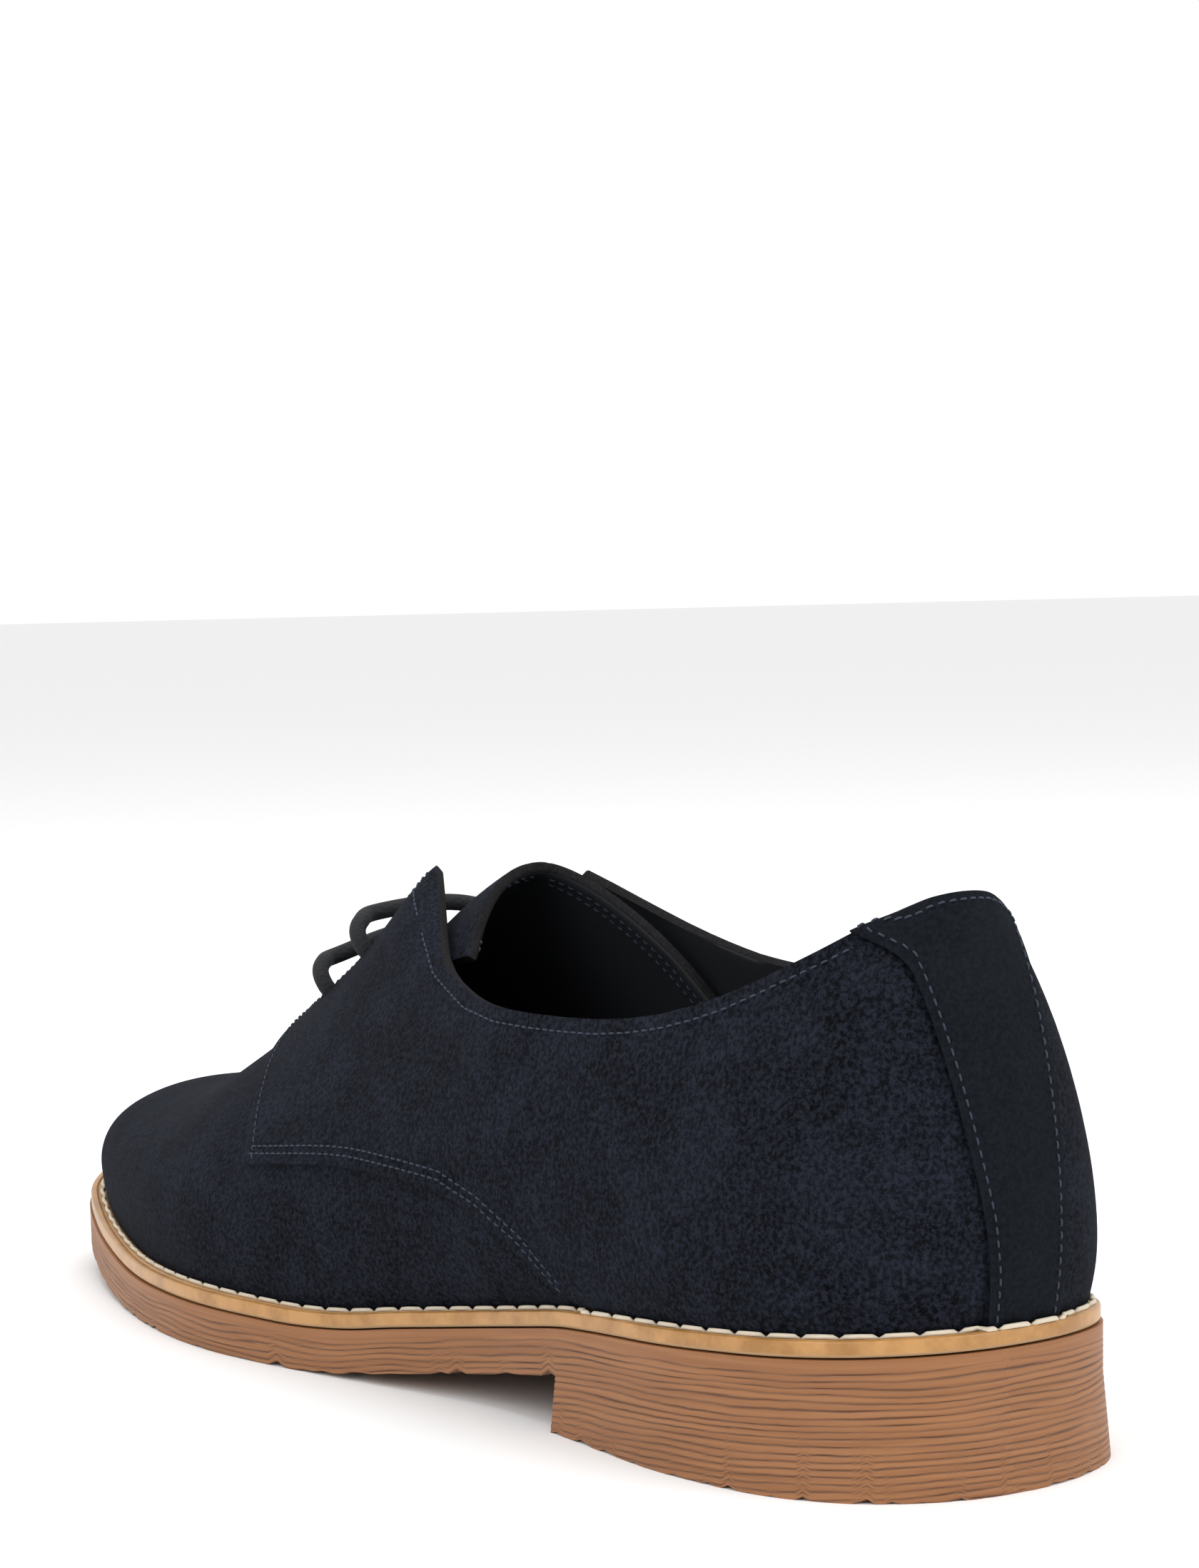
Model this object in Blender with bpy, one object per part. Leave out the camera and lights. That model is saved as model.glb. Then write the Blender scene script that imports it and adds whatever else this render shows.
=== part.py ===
"""Left derby shoe in suede: open quarters laced over a vamp, on a welted rubber sole.

Frame: metres, +Z up, +Y to the toe, +X to the wearer's right, which on a left
shoe is the medial side. The origin is on the floor, under the middle of the sole.
Run with: blender --background --python part.py
"""

import math
from functools import lru_cache

import bmesh
import bpy
import numpy as np
from mathutils import Vector

MM = 0.001

# Driving sizes of the sole
LENGTH = 300 * MM
BALL_WIDTH = 103.8 * MM
HEEL_WIDTH = 71 * MM
SOLE_THICKNESS = 8.0 * MM
HEEL_RISE = 14.6 * MM
HEEL_LENGTH = 78 * MM
TOE_SPRING = 10 * MM
HEEL_FLARE = 1.2 * MM
RIB_PITCH = 1.6 * MM
RIB_DEPTH = 0.45 * MM
WELT_THICKNESS = 2.7 * MM
WELT_WIDTH = 9.0 * MM
WELT_INSET = 0.35 * MM
FIT_GAP = 0.3 * MM

# Driving sizes of the upper
FEATHER_INSET = 2.9 * MM
WALL = 2.0 * MM
QUARTER_STEP = 1.3 * MM
STRIP_STEP = 0.8 * MM
STRIP_HALF_WIDTH = 13 * MM
TAB_RISE = 2.4 * MM
INSTEP_HEIGHT = 90 * MM
THROAT_TOP_GAP = 19 * MM
THROAT_FRONT_GAP = 36 * MM
TIP_FLARE = 6.0 * MM
TIP_FLARE_REACH = 42 * MM
RIDGE_SHIFT = 2.5 * MM
TONGUE_THICKNESS = 2.0 * MM
TONGUE_TOP_WIDTH = 54 * MM
TONGUE_FRONT_WIDTH = 48 * MM
INSOLE_THICKNESS = 3.0 * MM
INSOLE_SIDE_GAP = 0.5 * MM

# Driving sizes of the lacing
LACE_DIAMETER = 3.4 * MM
EYELET_DIAMETER = 4.6 * MM
EYELET_SETBACK = 9 * MM
EYELET_STATIONS = (0.608, 0.662)
LACE_STANDOFF = 0.6 * MM

# Colours, linear
SUEDE_COLOUR = (0.010, 0.013, 0.022)
LINING_COLOUR = (0.012, 0.013, 0.016)
RUBBER_COLOUR = (0.42, 0.20, 0.10)
WELT_COLOUR = (0.56, 0.30, 0.09)
LACE_COLOUR = (0.010, 0.012, 0.020)

# Plan of the sole. Widths are half widths to each side of the heel's centre line:
# shares of HEEL_WIDTH up to the waist, shares of BALL_WIDTH in front of it.
WAIST_STATION = 0.30
# station, lateral, medial
OUTLINE = (
    (0.000, 0.000, 0.000),
    (0.013, 0.214, 0.255),
    (0.040, 0.350, 0.405),
    (0.083, 0.442, 0.484),
    (0.167, 0.494, 0.512),
    (0.250, 0.489, 0.478),
    (0.333, 0.345, 0.294),
    (0.417, 0.400, 0.286),
    (0.500, 0.467, 0.316),
    (0.583, 0.517, 0.384),
    (0.633, 0.525, 0.430),
    (0.683, 0.514, 0.460),
    (0.733, 0.492, 0.475),
    (0.800, 0.450, 0.466),
    (0.867, 0.396, 0.418),
    (0.917, 0.342, 0.345),
    (0.960, 0.250, 0.238),
    (0.987, 0.152, 0.140),
    (1.000, 0.000, 0.000),
)

# Underside of the sole plate, as shares of HEEL_RISE and of TOE_SPRING
# station, heel share, toe share
UNDERSIDE = (
    (0.000, 1.00, 0.00),
    (0.133, 0.84, 0.00),
    (0.260, 0.65, 0.00),
    (0.317, 0.47, 0.00),
    (0.400, 0.23, 0.00),
    (0.500, 0.00, 0.00),
    (0.700, 0.00, 0.00),
    (0.817, 0.00, 0.20),
    (0.917, 0.00, 0.60),
    (1.000, 0.00, 1.00),
)

# Ribs of the last: each runs from the feather line up to the centre ridge.
# Bulges are shares of BALL_WIDTH, added outwards low on the rib. Turn is how far the
# rib swings forwards before it crosses the ridge squarely.
# foot station, ridge station, lateral bulge, medial bulge, roundness, turn
RIBS = (
    (0.000, 0.070, 0.026, 0.026, 0.90, 0.0),
    (0.030, 0.078, 0.024, 0.024, 1.08, 0.0),
    (0.080, 0.098, 0.024, 0.024, 1.30, 0.0),
    (0.167, 0.180, 0.030, 0.028, 1.10, 0.0),
    (0.250, 0.290, 0.050, 0.055, 0.82, 0.5),
    (0.333, 0.440, 0.068, 0.080, 0.72, 0.8),
    (0.370, 0.500, 0.062, 0.080, 0.72, 1.0),
    (0.450, 0.605, 0.040, 0.066, 0.74, 1.0),
    (0.545, 0.712, 0.022, 0.034, 0.72, 1.0),
    (0.620, 0.755, 0.018, 0.024, 0.66, 1.0),
    (0.700, 0.790, 0.016, 0.018, 0.61, 0.8),
    (0.800, 0.826, 0.014, 0.014, 0.58, 0.5),
    (0.880, 0.853, 0.012, 0.012, 0.56, 0.0),
    (0.950, 0.876, 0.010, 0.010, 0.55, 0.0),
    (1.000, 0.890, 0.010, 0.010, 0.55, 0.0),
)

# Centre ridge of the last. Heights are shares of INSTEP_HEIGHT.
# station, height, share of RIDGE_SHIFT towards the medial side
RIDGE = (
    (0.070, 1.090, 0.0),
    (0.200, 1.110, 0.3),
    (0.330, 1.110, 0.6),
    (0.430, 1.090, 0.9),
    (0.487, 1.030, 1.0),
    (0.523, 0.980, 1.0),
    (0.553, 0.922, 1.0),
    (0.573, 0.885, 1.0),
    (0.627, 0.808, 1.0),
    (0.665, 0.755, 1.0),
    (0.690, 0.707, 1.0),
    (0.717, 0.650, 0.9),
    (0.760, 0.563, 0.7),
    (0.800, 0.500, 0.5),
    (0.833, 0.466, 0.3),
    (0.873, 0.442, 0.1),
    (0.903, 0.428, 0.0),
)

# Top line of the quarters seen from the side. Heights are shares of INSTEP_HEIGHT.
# station, lateral height, medial height
COLLAR = (
    (0.000, 1.010, 1.010),
    (0.045, 0.988, 0.988),
    (0.088, 0.915, 0.925),
    (0.148, 0.825, 0.860),
    (0.200, 0.783, 0.825),
    (0.250, 0.768, 0.808),
    (0.317, 0.765, 0.803),
    (0.377, 0.783, 0.820),
    (0.410, 0.805, 0.845),
    (0.440, 0.833, 0.865),
    (0.487, 0.885, 0.912),
    (0.520, 0.925, 0.945),
    (0.560, 0.985, 0.985),
)

# Lower edge of the quarters seen from the side. Heights are shares of INSTEP_HEIGHT.
# station, height
SEAM = (
    (0.200, 0.235),
    (0.267, 0.300),
    (0.310, 0.375),
    (0.367, 0.420),
    (0.447, 0.425),
    (0.557, 0.394),
    (0.620, 0.370),
)

# Ribs that bound the pieces, by foot station
FRONT_FOOT = 0.545
SEAM_END_FOOT = 0.235
TONGUE_BACK_FOOT = 0.362
TONGUE_FRONT_FOOT = 0.590

# Steps of the meshes
STRIP_COLUMNS = 4
QUARTER_COLUMNS = 15
FACING_COLUMNS = 9
VAMP_COLUMNS = 17
LOW_ROWS = 4
HIGH_ROWS = 9
VAMP_ROWS = 5
TONGUE_ROWS = 10
SOLE_STATIONS = 38
INSOLE_STATIONS = 30
LACE_SIDES = 3
EYELET_SIDES = 20
MERGE = 0.001 * MM
INSTEP_COSINE = 0.7

# Levels of the upper's surfaces, measured out from the last
VAMP_LEVEL = -0.4 * QUARTER_STEP
QUARTER_LEVEL = 0.6 * QUARTER_STEP
STRIP_LEVEL = QUARTER_LEVEL + STRIP_STEP
LAP_INNER_LEVEL = VAMP_LEVEL - WALL
QUARTER_INNER_LEVEL = QUARTER_LEVEL - WALL
TONGUE_LEVEL = LAP_INNER_LEVEL - FIT_GAP


def slopes(xs, ys):
    """Tangents of a monotone cubic through the points."""
    h = np.diff(xs)
    d = np.diff(ys) / h
    m = np.zeros(len(xs))
    for i in range(1, len(xs) - 1):
        if d[i - 1] * d[i] > 0:
            w1, w2 = 2 * h[i] + h[i - 1], h[i] + 2 * h[i - 1]
            m[i] = (w1 + w2) / (w1 / d[i - 1] + w2 / d[i])
    m[0], m[-1] = d[0], d[-1]
    return m


def through(xs, ys):
    """A smooth function through the points that adds no bumps between them."""
    xs, ys = np.array(xs, float), np.array(ys, float)
    m = slopes(xs, ys)

    def value(x):
        x = min(max(x, xs[0]), xs[-1])
        i = min(int(np.searchsorted(xs, x, "right")) - 1, len(xs) - 2)
        h = xs[i + 1] - xs[i]
        t = (x - xs[i]) / h
        return float(
            ys[i] * (1 + 2 * t) * (1 - t) ** 2
            + m[i] * h * t * (1 - t) ** 2
            + ys[i + 1] * t * t * (3 - 2 * t)
            - m[i + 1] * h * t * t * (1 - t)
        )

    return value


def phase_of(station):
    """Angle from heel, 0, to toe, pi, whose even steps are close together at both ends."""
    return math.acos(1 - 2 * station)


def station_of(phase):
    return (1 - math.cos(phase)) / 2


def column(table, index):
    return [row[index] for row in table]


def half_widths(index):
    sizes = [HEEL_WIDTH if row[0] < WAIST_STATION else BALL_WIDTH for row in OUTLINE]
    return [row[index] * size for row, size in zip(OUTLINE, sizes)]


def eased(share):
    """Smooth step from 0 to 1."""
    share = min(max(share, 0.0), 1.0)
    return share * share * (3 - 2 * share)


OUTLINE_PHASES = [phase_of(s) for s in column(OUTLINE, 0)]
LATERAL_WIDTH = through(OUTLINE_PHASES, half_widths(1))
MEDIAL_WIDTH = through(OUTLINE_PHASES, half_widths(2))
HEEL_SHARE = through(column(UNDERSIDE, 0), column(UNDERSIDE, 1))
TOE_SHARE = through(column(UNDERSIDE, 0), column(UNDERSIDE, 2))
RIB_PHASES = [phase_of(s) for s in column(RIBS, 0)]
RIDGE_STATION = through(RIB_PHASES, column(RIBS, 1))
LATERAL_BULGE = through(RIB_PHASES, column(RIBS, 2))
MEDIAL_BULGE = through(RIB_PHASES, column(RIBS, 3))
ROUNDNESS = through(RIB_PHASES, column(RIBS, 4))
RIB_TURN = through(RIB_PHASES, column(RIBS, 5))
RIDGE_HEIGHT = through(column(RIDGE, 0), column(RIDGE, 1))
RIDGE_SIDE = through(column(RIDGE, 0), column(RIDGE, 2))
LATERAL_COLLAR = through(column(COLLAR, 0), column(COLLAR, 1))
MEDIAL_COLLAR = through(column(COLLAR, 0), column(COLLAR, 2))
SEAM_HEIGHT = through(column(SEAM, 0), column(SEAM, 1))

CENTRE_X = (max(half_widths(2)) - max(half_widths(1))) / 2
CENTRE_Y = (LENGTH - HEEL_FLARE) / 2
FRONT_PHASE = phase_of(FRONT_FOOT)
SEAM_END_PHASE = phase_of(SEAM_END_FOOT)


def outline(phase, side, inset=0.0):
    """Plan point of the sole's edge, or of a line inset from it. Side is -1 lateral, 1 medial."""
    width = MEDIAL_WIDTH if side > 0 else LATERAL_WIDTH
    step = 0.01
    before, after = max(phase - step, 0), min(phase + step, math.pi)
    across = side * (width(after) - width(before))
    along = LENGTH * (station_of(after) - station_of(before))
    if phase <= step or phase >= math.pi - step:
        along *= min(phase, math.pi - phase) / step
    normal = side * np.array([along, -across]) / math.hypot(across, along)
    point = np.array([side * width(phase) - CENTRE_X, LENGTH * station_of(phase) - CENTRE_Y])
    return point - normal * inset, normal


def station_at(y):
    return min(max((y + CENTRE_Y) / LENGTH, 0.0), 1.0)


def underside(station):
    return HEEL_SHARE(station) * HEEL_RISE + TOE_SHARE(station) * TOE_SPRING


def sole_top(station):
    return underside(station) + SOLE_THICKNESS


def feather_height(station):
    """Height of the lower edge of the upper, which stands on the welt."""
    return sole_top(station) + FIT_GAP + WELT_THICKNESS + FIT_GAP


def ridge_point(station):
    side = RIDGE_SIDE(station) * RIDGE_SHIFT - CENTRE_X
    return np.array([side, LENGTH * station - CENTRE_Y, RIDGE_HEIGHT(station) * INSTEP_HEIGHT])


def last_point(phase, side, turn):
    """Point of the last on a rib. Turn is 0 at the feather line and pi / 2 on the ridge."""
    foot, normal = outline(phase, side, FEATHER_INSET)
    foot_z = feather_height(station_at(foot[1]))
    top = ridge_point(RIDGE_STATION(phase))
    across = 1 - math.cos(turn)
    rise = math.sin(turn) ** ROUNDNESS(phase)
    swing = RIB_TURN(phase)
    forward = across * (1 - swing) + swing * (1 - (1 - across) ** 2)
    bulge = (MEDIAL_BULGE if side > 0 else LATERAL_BULGE)(phase) * BALL_WIDTH
    bulge *= math.sin(math.pi * min(rise, 1) ** 0.6) * (1 - across)
    x = foot[0] + (top[0] - foot[0]) * across + normal[0] * bulge
    y = foot[1] + (top[1] - foot[1]) * forward + normal[1] * bulge
    return np.array([x, y, foot_z + (top[2] - foot_z) * rise])


def last_normal(phase, side, turn):
    """Outward normal of the last there."""
    step = 0.006
    low, high = max(turn - step, 1e-5), min(turn + step, math.pi / 2)
    up = last_point(phase, side, high) - last_point(phase, side, low)
    before, after = max(phase - step, 0), min(phase + step, math.pi)
    along = last_point(after, side, turn) - last_point(before, side, turn)
    if turn > math.pi / 2 - 2 * step:
        return np.array([0, -along[2], along[1]]) / math.hypot(along[1], along[2])
    if phase < step or phase > math.pi - step:
        forward = 1 if phase < step else -1
        along = np.array([abs(along[0]) * side * forward, 0, 0])
    normal = np.cross(up, along) * -side
    return normal / np.linalg.norm(normal)


def offset_point(phase, side, turn, offset):
    """Point at a distance from the last. The lowest row stays on the welt."""
    if turn <= 0:
        foot, _ = outline(phase, side, FEATHER_INSET - offset)
        return np.array([foot[0], foot[1], feather_height(station_at(foot[1]))])
    return last_point(phase, side, turn) + last_normal(phase, side, turn) * offset


def lowest_turn(phase, side, reached):
    """The lowest turn of the rib at which reached(point) becomes true."""
    low, high = 0.0, math.pi / 2
    for _ in range(30):
        middle = (low + high) / 2
        if reached(last_point(phase, side, middle)):
            high = middle
        else:
            low = middle
    return high


def collar_turn(phase, side, rise=0.0):
    height = MEDIAL_COLLAR if side > 0 else LATERAL_COLLAR
    return lowest_turn(
        phase, side, lambda p: p[2] > height(station_at(p[1])) * INSTEP_HEIGHT + rise
    )


def ridge_side_turn(phase, side, half_width):
    """Turn at which the rib comes within half_width of the ridge, seen from above."""
    centre = ridge_point(RIDGE_STATION(phase))[0]
    return lowest_turn(phase, side, lambda p: abs(p[0] - centre) < half_width)


@lru_cache(maxsize=None)
def seam_turn(phase, side):
    if phase <= SEAM_END_PHASE:
        return 0.0
    found = lowest_turn(
        phase, side, lambda p: p[2] > SEAM_HEIGHT(station_at(p[1])) * INSTEP_HEIGHT
    )
    return found * eased((phase - SEAM_END_PHASE) / 0.12)


def meeting_phase(side):
    """The rib on which the collar meets the throat, at the tip of the facing."""
    low, high = phase_of(0.30), FRONT_PHASE
    for _ in range(30):
        middle = (low + high) / 2
        if collar_turn(middle, side) < ridge_side_turn(middle, side, THROAT_TOP_GAP / 2):
            low = middle
        else:
            high = middle
    return (low + high) / 2


TIP_PHASE = {-1: meeting_phase(-1), 1: meeting_phase(1)}
TIP_POINT = {side: last_point(p, side, collar_turn(p, side)) for side, p in TIP_PHASE.items()}


def throat_turn(phase, side):
    share = (phase - TIP_PHASE[side]) / (FRONT_PHASE - TIP_PHASE[side])
    gap = THROAT_TOP_GAP + (THROAT_FRONT_GAP - THROAT_TOP_GAP) * min(max(share, 0), 1)
    return ridge_side_turn(phase, side, gap / 2)


@lru_cache(maxsize=None)
def top_turn(phase, side):
    """Top edge of the quarters: the collar, then from the tip on the throat."""
    if phase <= TIP_PHASE[side]:
        return collar_turn(phase, side)
    return throat_turn(phase, side)


@lru_cache(maxsize=None)
def strip_phase(side, share):
    """Rib that lies STRIP_HALF_WIDTH from the centre at this share of the height."""
    low, high = 0.0, phase_of(0.25)
    for _ in range(24):
        middle = (low + high) / 2
        point = last_point(middle, side, share * top_turn(middle, side))
        if abs(point[0] + CENTRE_X) < STRIP_HALF_WIDTH:
            low = middle
        else:
            high = middle
    return (low + high) / 2


class Skin:
    """Collects quads by their corner points, and joins corners that coincide."""

    def __init__(self):
        self.points = []
        self.index = {}
        self.faces = []

    def vertex(self, point):
        key = tuple(int(round(c * 1e7)) for c in point)
        if key not in self.index:
            self.index[key] = len(self.points)
            self.points.append(tuple(float(c) for c in point))
        return self.index[key]

    def quad(self, a, b, c, d, flip=False):
        corners = []
        for point in (a, b, c, d):
            number = self.vertex(point)
            if number not in corners:
                corners.append(number)
        if len(corners) > 2:
            self.faces.append(corners[::-1] if flip else corners)

    def grid(self, columns, flip=False):
        for left, right in zip(columns, columns[1:]):
            for i in range(len(left) - 1):
                self.quad(left[i], right[i], right[i + 1], left[i + 1], flip)

    def closed_object(self, name, colour, roughness):
        mesh = bpy.data.meshes.new(name)
        mesh.from_pydata(self.points, [], self.faces)
        shape = bmesh.new()
        shape.from_mesh(mesh)
        bmesh.ops.remove_doubles(shape, verts=shape.verts, dist=MERGE)
        bmesh.ops.triangulate(shape, faces=[f for f in shape.faces if len(f.verts) > 3])
        bmesh.ops.recalc_face_normals(shape, faces=shape.faces)
        shape.to_mesh(mesh)
        shape.free()
        return new_object(name, mesh, colour, roughness)


def new_object(name, data, colour, roughness):
    material = bpy.data.materials.new(name)
    material.use_nodes = True
    shader = material.node_tree.nodes["Principled BSDF"]
    shader.inputs["Base Color"].default_value = (*colour, 1)
    shader.inputs["Roughness"].default_value = roughness
    data.materials.append(material)
    thing = bpy.data.objects.new(name, data)
    bpy.context.collection.objects.link(thing)
    return thing


def flare(side, point):
    """How far the loose facing stands off the instep near its tip."""
    distance = float(np.linalg.norm(point - TIP_POINT[side]))
    return TIP_FLARE * eased(1 - distance / TIP_FLARE_REACH)


def quarter_pair(phase, side, turn, level, away):
    """Outer and inner point of the quarter. Away is 0 where it laps over the vamp."""
    lift = flare(side, last_point(phase, side, turn))
    inner = LAP_INNER_LEVEL + (QUARTER_INNER_LEVEL - LAP_INNER_LEVEL) * away
    outer_point = offset_point(phase, side, turn, level + lift)
    return outer_point, offset_point(phase, side, turn, inner + lift)


def quarter_away(phase, turn, bottom, top):
    """Distance from the lap as a share, for the thinning of the wall behind it."""
    upward = (turn - bottom) / (top - bottom) / 0.3 if phase > SEAM_END_PHASE - 0.25 else 1.0
    behind = (FRONT_PHASE - phase) / 0.20
    return eased(min(upward, behind, 1.0))


def quarter_column(phase_at, side, level, tab=0.0):
    """Two lists of points, outer and inner, from the lap or feather line to the top."""
    pairs = []
    for i in range(HIGH_ROWS + 1):
        share = i / HIGH_ROWS
        phase = phase_at(share)
        bottom = seam_turn(phase, side)
        top = top_turn(phase, side)
        if tab > 0 and share == 1:
            top = collar_turn(phase, side, tab)
        turn = bottom + (top - bottom) * share
        away = quarter_away(phase, turn, bottom, top)
        pairs.append(quarter_pair(phase, side, turn, level, away))
    return [p[0] for p in pairs], [p[1] for p in pairs]


def low_column(phase, side):
    """The vamp under the quarter's lower edge, from the feather line up to that edge."""
    outer, inner = [], []
    for i in range(LOW_ROWS + 1):
        turn = seam_turn(phase, side) * i / LOW_ROWS
        outer.append(offset_point(phase, side, turn, VAMP_LEVEL))
        inner.append(offset_point(phase, side, turn, LAP_INNER_LEVEL))
    return outer, inner


def vamp_turns(side, share):
    """Rows of a rib of the vamp. At its back they meet the rows of the quarter."""
    seam, throat = seam_turn(FRONT_PHASE, side), throat_turn(FRONT_PHASE, side)
    back = [seam * i / LOW_ROWS for i in range(LOW_ROWS)]
    back += [seam + (throat - seam) * i / HIGH_ROWS for i in range(HIGH_ROWS)]
    back += [throat + (math.pi / 2 - throat) * i / VAMP_ROWS for i in range(VAMP_ROWS + 1)]
    even = [math.pi / 2 * i / (len(back) - 1) for i in range(len(back))]
    mix = eased(share * 1.6)
    return [b * (1 - mix) + e * mix for b, e in zip(back, even)]


def make_upper():
    """Vamp, quarters and back strip as one hollow wall with real steps at their edges."""
    skin = Skin()
    for side in (-1, 1):
        flip = side > 0

        # Back strip, from the centre line to its edge
        strip = []
        for j in range(STRIP_COLUMNS + 1):
            part = j / STRIP_COLUMNS
            tab = TAB_RISE * (1 - part**4)
            phase_at = lambda share, part=part: strip_phase(side, share) * part
            strip.append(quarter_column(phase_at, side if j else -1, STRIP_LEVEL, tab))

        # Quarter, from the strip to the tip of the facing and on to its front edge
        quarter = []
        feet = []
        for j in range(QUARTER_COLUMNS + 1):
            part = j / QUARTER_COLUMNS
            phase_at = lambda share, part=part: (
                strip_phase(side, share) * (1 - part) + TIP_PHASE[side] * part
            )
            feet.append(phase_at(0))
            quarter.append(quarter_column(phase_at, side, QUARTER_LEVEL))
        for j in range(1, FACING_COLUMNS + 1):
            phase = TIP_PHASE[side] + (FRONT_PHASE - TIP_PHASE[side]) * j / FACING_COLUMNS
            feet.append(phase)
            quarter.append(quarter_column(lambda share, phase=phase: phase, side, QUARTER_LEVEL))
        plain = [c for c, phase in zip(quarter, feet) if phase <= SEAM_END_PHASE]
        lap = quarter[len(plain) - 1 :]
        low = [low_column(phase, side) for phase in feet[len(plain) - 1 :]]

        # Vamp in front of the quarter
        vamp = []
        for j in range(VAMP_COLUMNS + 1):
            share = j / VAMP_COLUMNS
            phase = FRONT_PHASE + (math.pi - FRONT_PHASE) * share
            turns = vamp_turns(side, share)
            outer = [offset_point(phase, side, t, VAMP_LEVEL) for t in turns]
            inner = [offset_point(phase, side, t, LAP_INNER_LEVEL) for t in turns]
            vamp.append((outer, inner))

        for columns in (strip, quarter, low, vamp):
            skin.grid([c[0] for c in columns], flip)
            skin.grid([c[1] for c in columns], not flip)

        # Steps: strip over quarter, quarter over vamp along the seam and down the front
        skin.grid([strip[-1][0], quarter[0][0]], flip)
        skin.grid([[a[0][-1], b[0][0]] for a, b in zip(low, lap)], flip)
        skin.grid([quarter[-1][0], vamp[0][0][LOW_ROWS : LOW_ROWS + HIGH_ROWS + 1]], flip)

        # Rim on the welt. Where the lap starts, both levels share one inner corner.
        bottom_rim = [(c[0][0], c[1][0]) for c in strip + plain + low + vamp]
        skin.grid([[pair[0], pair[1]] for pair in bottom_rim], not flip)

        # Rim round the opening
        rim = [(c[0][-1], c[1][-1]) for c in strip + quarter]
        rim += [(vamp[0][0][i], vamp[0][1][i]) for i in range(LOW_ROWS + HIGH_ROWS, len(vamp[0][0]))]
        skin.grid([[pair[0], pair[1]] for pair in rim], flip)
    return skin.closed_object("upper", SUEDE_COLOUR, 0.9)


def perimeter(stations):
    """Phases and sides round the sole: back of the heel, lateral side, toe, medial side."""
    phases = [math.pi * i / stations for i in range(stations + 1)]
    heel = phase_of(HEEL_LENGTH / LENGTH)
    nearest = min(range(len(phases)), key=lambda i: abs(phases[i] - heel))
    phases[nearest] = heel
    return phases, nearest


def edge_point(phase, side, inset, height):
    """Point on a line inset from the outline, at height(station)."""
    plan, _ = outline(phase, side, inset)
    return np.array([plan[0], plan[1], height(station_at(plan[1]))])


def edge_loops(phases, inset, height):
    return {side: [edge_point(p, side, inset, height) for p in phases] for side in (-1, 1)}


def blend(a, b, share):
    return a + (b - a) * share


def make_outsole():
    """Moulded rubber unit: ribbed sides, a raised bed inside the welt, and a heel block."""
    skin = Skin()
    phases, breast = perimeter(SOLE_STATIONS)
    bed_inset = WELT_INSET + WELT_WIDTH + FIT_GAP
    plate_ribs = max(int(round(SOLE_THICKNESS / RIB_PITCH)), 1)
    heel_ribs = max(int(round(HEEL_RISE * 0.8 / RIB_PITCH)), 1)

    def bed(station):
        return feather_height(station) - FIT_GAP

    plate = []
    for i in range(2 * plate_ribs + 1):
        share = i / (2 * plate_ribs)
        inset = RIB_DEPTH if i % 2 else 0.0

        def height(station, share=share):
            return sole_top(station) - SOLE_THICKNESS * share

        plate.append(edge_loops(phases, inset, height))
    top_edge = edge_loops(phases, bed_inset, sole_top)
    bed_edge = edge_loops(phases, bed_inset, bed)
    heel = []
    for i in range(2 * heel_ribs + 1):
        share = i / (2 * heel_ribs)
        inset = (RIB_DEPTH if i % 2 else 0.0) - HEEL_FLARE * share

        def height(station, share=share):
            return underside(station) * (1 - share)

        heel.append(edge_loops(phases[: breast + 1], inset, height))
    heel[0] = {side: plate[-1][side][: breast + 1] for side in (-1, 1)}

    for side in (-1, 1):
        skin.grid([list(c) for c in zip(*[loop[side] for loop in plate])], side < 0)
        skin.grid([list(c) for c in zip(*[loop[side] for loop in heel])], side < 0)
        skin.grid([list(c) for c in zip(plate[0][side], top_edge[side])], side > 0)
        skin.grid([list(c) for c in zip(top_edge[side], bed_edge[side])], side > 0)
    skin.grid([list(c) for c in zip(bed_edge[-1], bed_edge[1])])
    skin.grid([list(c) for c in zip(plate[-1][-1][breast:], plate[-1][1][breast:])], True)
    skin.grid([list(c) for c in zip(heel[-1][-1], heel[-1][1])], True)
    skin.grid([[row[-1][-1], row[1][-1]] for row in heel])
    return skin.closed_object("outsole", RUBBER_COLOUR, 0.6)


def make_ring(name, stations, outer_inset, width, bottom, thickness, colour, roughness):
    """Flat band that follows the outline."""
    skin = Skin()
    phases, _ = perimeter(stations)

    def top(station):
        return bottom(station) + thickness

    loops = [
        edge_loops(phases, outer_inset, bottom),
        edge_loops(phases, outer_inset, top),
        edge_loops(phases, outer_inset + width, top),
        edge_loops(phases, outer_inset + width, bottom),
    ]
    loops.append(loops[0])
    for side in (-1, 1):
        skin.grid([list(c) for c in zip(*[loop[side] for loop in loops])], side > 0)
    return skin.closed_object(name, colour, roughness)


def make_insole():
    """Flat board and sock that lie inside the upper, on the bed of the sole."""
    skin = Skin()
    phases, _ = perimeter(INSOLE_STATIONS)
    inset = FEATHER_INSET - LAP_INNER_LEVEL + INSOLE_SIDE_GAP

    def top(station):
        return feather_height(station) + INSOLE_THICKNESS

    lower = edge_loops(phases, inset, feather_height)
    upper = edge_loops(phases, inset, top)
    for side in (-1, 1):
        skin.grid([list(c) for c in zip(lower[side], upper[side])], side > 0)
    skin.grid([list(c) for c in zip(lower[-1], lower[1])], True)
    skin.grid([list(c) for c in zip(upper[-1], upper[1])])
    return skin.closed_object("insole", LINING_COLOUR, 0.8)


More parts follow.
